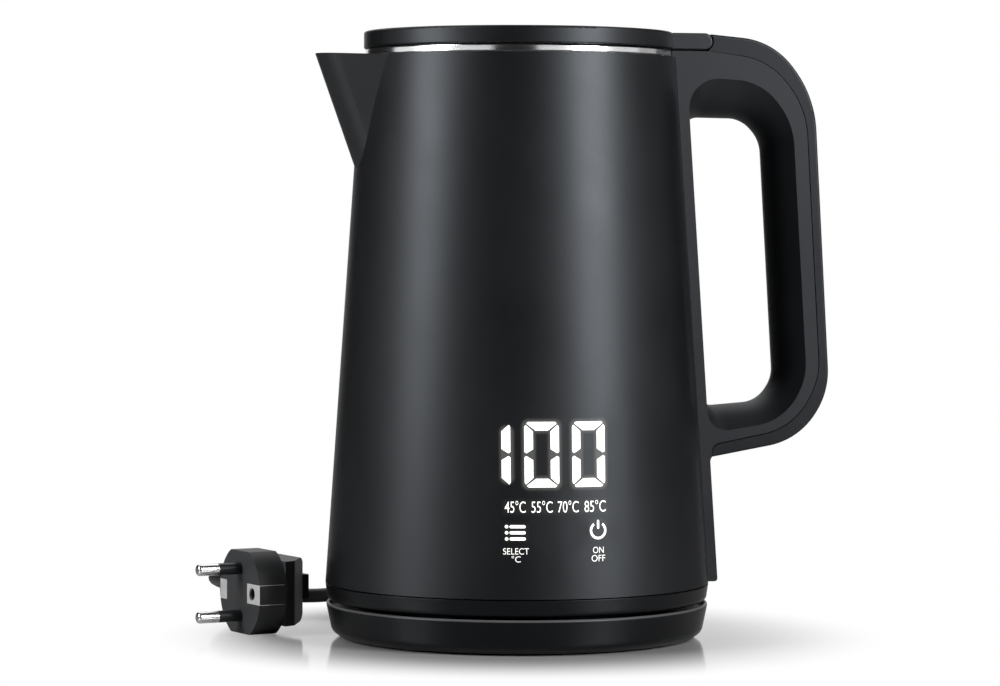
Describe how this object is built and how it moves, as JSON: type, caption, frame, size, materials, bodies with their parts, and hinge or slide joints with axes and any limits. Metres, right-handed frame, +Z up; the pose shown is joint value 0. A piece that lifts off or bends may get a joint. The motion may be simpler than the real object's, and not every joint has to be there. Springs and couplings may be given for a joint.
{
  "type": "electric jug kettle on a swivel power base",
  "caption": "Tapered black electric kettle with a short V spout, flat hinged lid, loop handle and lit touch display, on a round swivel power base with a coiled mains lead and plug.",
  "frame": {"origin": "on the table, under the axis of the power base", "axes": "+X towards the handle, -X towards the spout, -Y towards the display, +Z up"},
  "size_m": [0.2513, 0.2823, 0.2412],
  "materials": {
    "shell_plastic": "satin",
    "lid_plastic": "satin",
    "handle_plastic": "matte",
    "cover_plastic": "satin",
    "base_plastic": "satin",
    "inner_plastic": "matte",
    "polished_steel": "polished",
    "brushed_steel": "brushed",
    "aluminium": "satin",
    "brass": "satin",
    "silicone": "matte",
    "black_rubber": "matte",
    "cord_rubber": "satin",
    "plug_plastic": "matte",
    "light_white": "lit",
    "circuit_board": "satin",
    "wire_cover": "satin"
  },
  "bodies": {
    "power_base": {"base_housing": "base_plastic", "base_bottom_plate": "base_plastic", "base_foot_ring": "black_rubber", "base_screws": "brushed_steel", "connector_collar": "inner_plastic", "base_wires": "wire_cover", "cord_gland": "cord_rubber", "cord_to_coil": "cord_rubber", "cord_coil": "cord_rubber", "coil_tie": "black_rubber", "cord_to_plug": "cord_rubber", "plug_body": "plug_plastic", "plug_pins": "polished_steel", "plug_pin_sleeves": "inner_plastic", "plug_earth_contacts": "polished_steel", "plug_strain_relief": "plug_plastic"},
    "connector": {"connector_head": "inner_plastic", "connector_head_contacts": "brass"},
    "kettle": {"outer_shell": "shell_plastic", "display_digits": "light_white", "touch_icons": "light_white", "control_board": "circuit_board", "display_module": "inner_plastic", "touch_pads": "inner_plastic", "bottom_cover": "base_plastic", "bottom_screws": "brushed_steel", "inner_pot": "brushed_steel", "rim_band": "polished_steel", "spout_strainer": "brushed_steel", "rim_gasket": "silicone", "spout_seal": "silicone", "heating_plate": "aluminium", "heating_element": "brushed_steel", "connector_socket": "inner_plastic", "socket_contacts": "brass", "temperature_sensor": "brushed_steel", "sensor_seal": "silicone", "handle_grip": "handle_plastic", "handle_cover": "cover_plastic", "handle_screws": "brushed_steel", "hinge_pin": "brushed_steel"},
    "lid": {"lid_cover": "lid_plastic", "lid_inner_plate": "brushed_steel", "lid_gasket": "silicone", "lid_screws": "brushed_steel"}
  },
  "joints": [
    {"name": "swivel", "type": "hinge", "parent": "power_base", "child": "connector", "pos_m": [0, 0, 0.0049], "axis": [0, 0, 1], "continuous": true},
    {"name": "lift_off", "type": "slide", "parent": "connector", "child": "kettle", "axis": [0, 0, 1], "range_m": [0, 0.06]},
    {"name": "lid_hinge", "type": "hinge", "parent": "kettle", "child": "lid", "pos_m": [0.0727, 0, 0.2378], "axis": [0, 1, 0], "range_deg": [0, 75]}
  ]
}
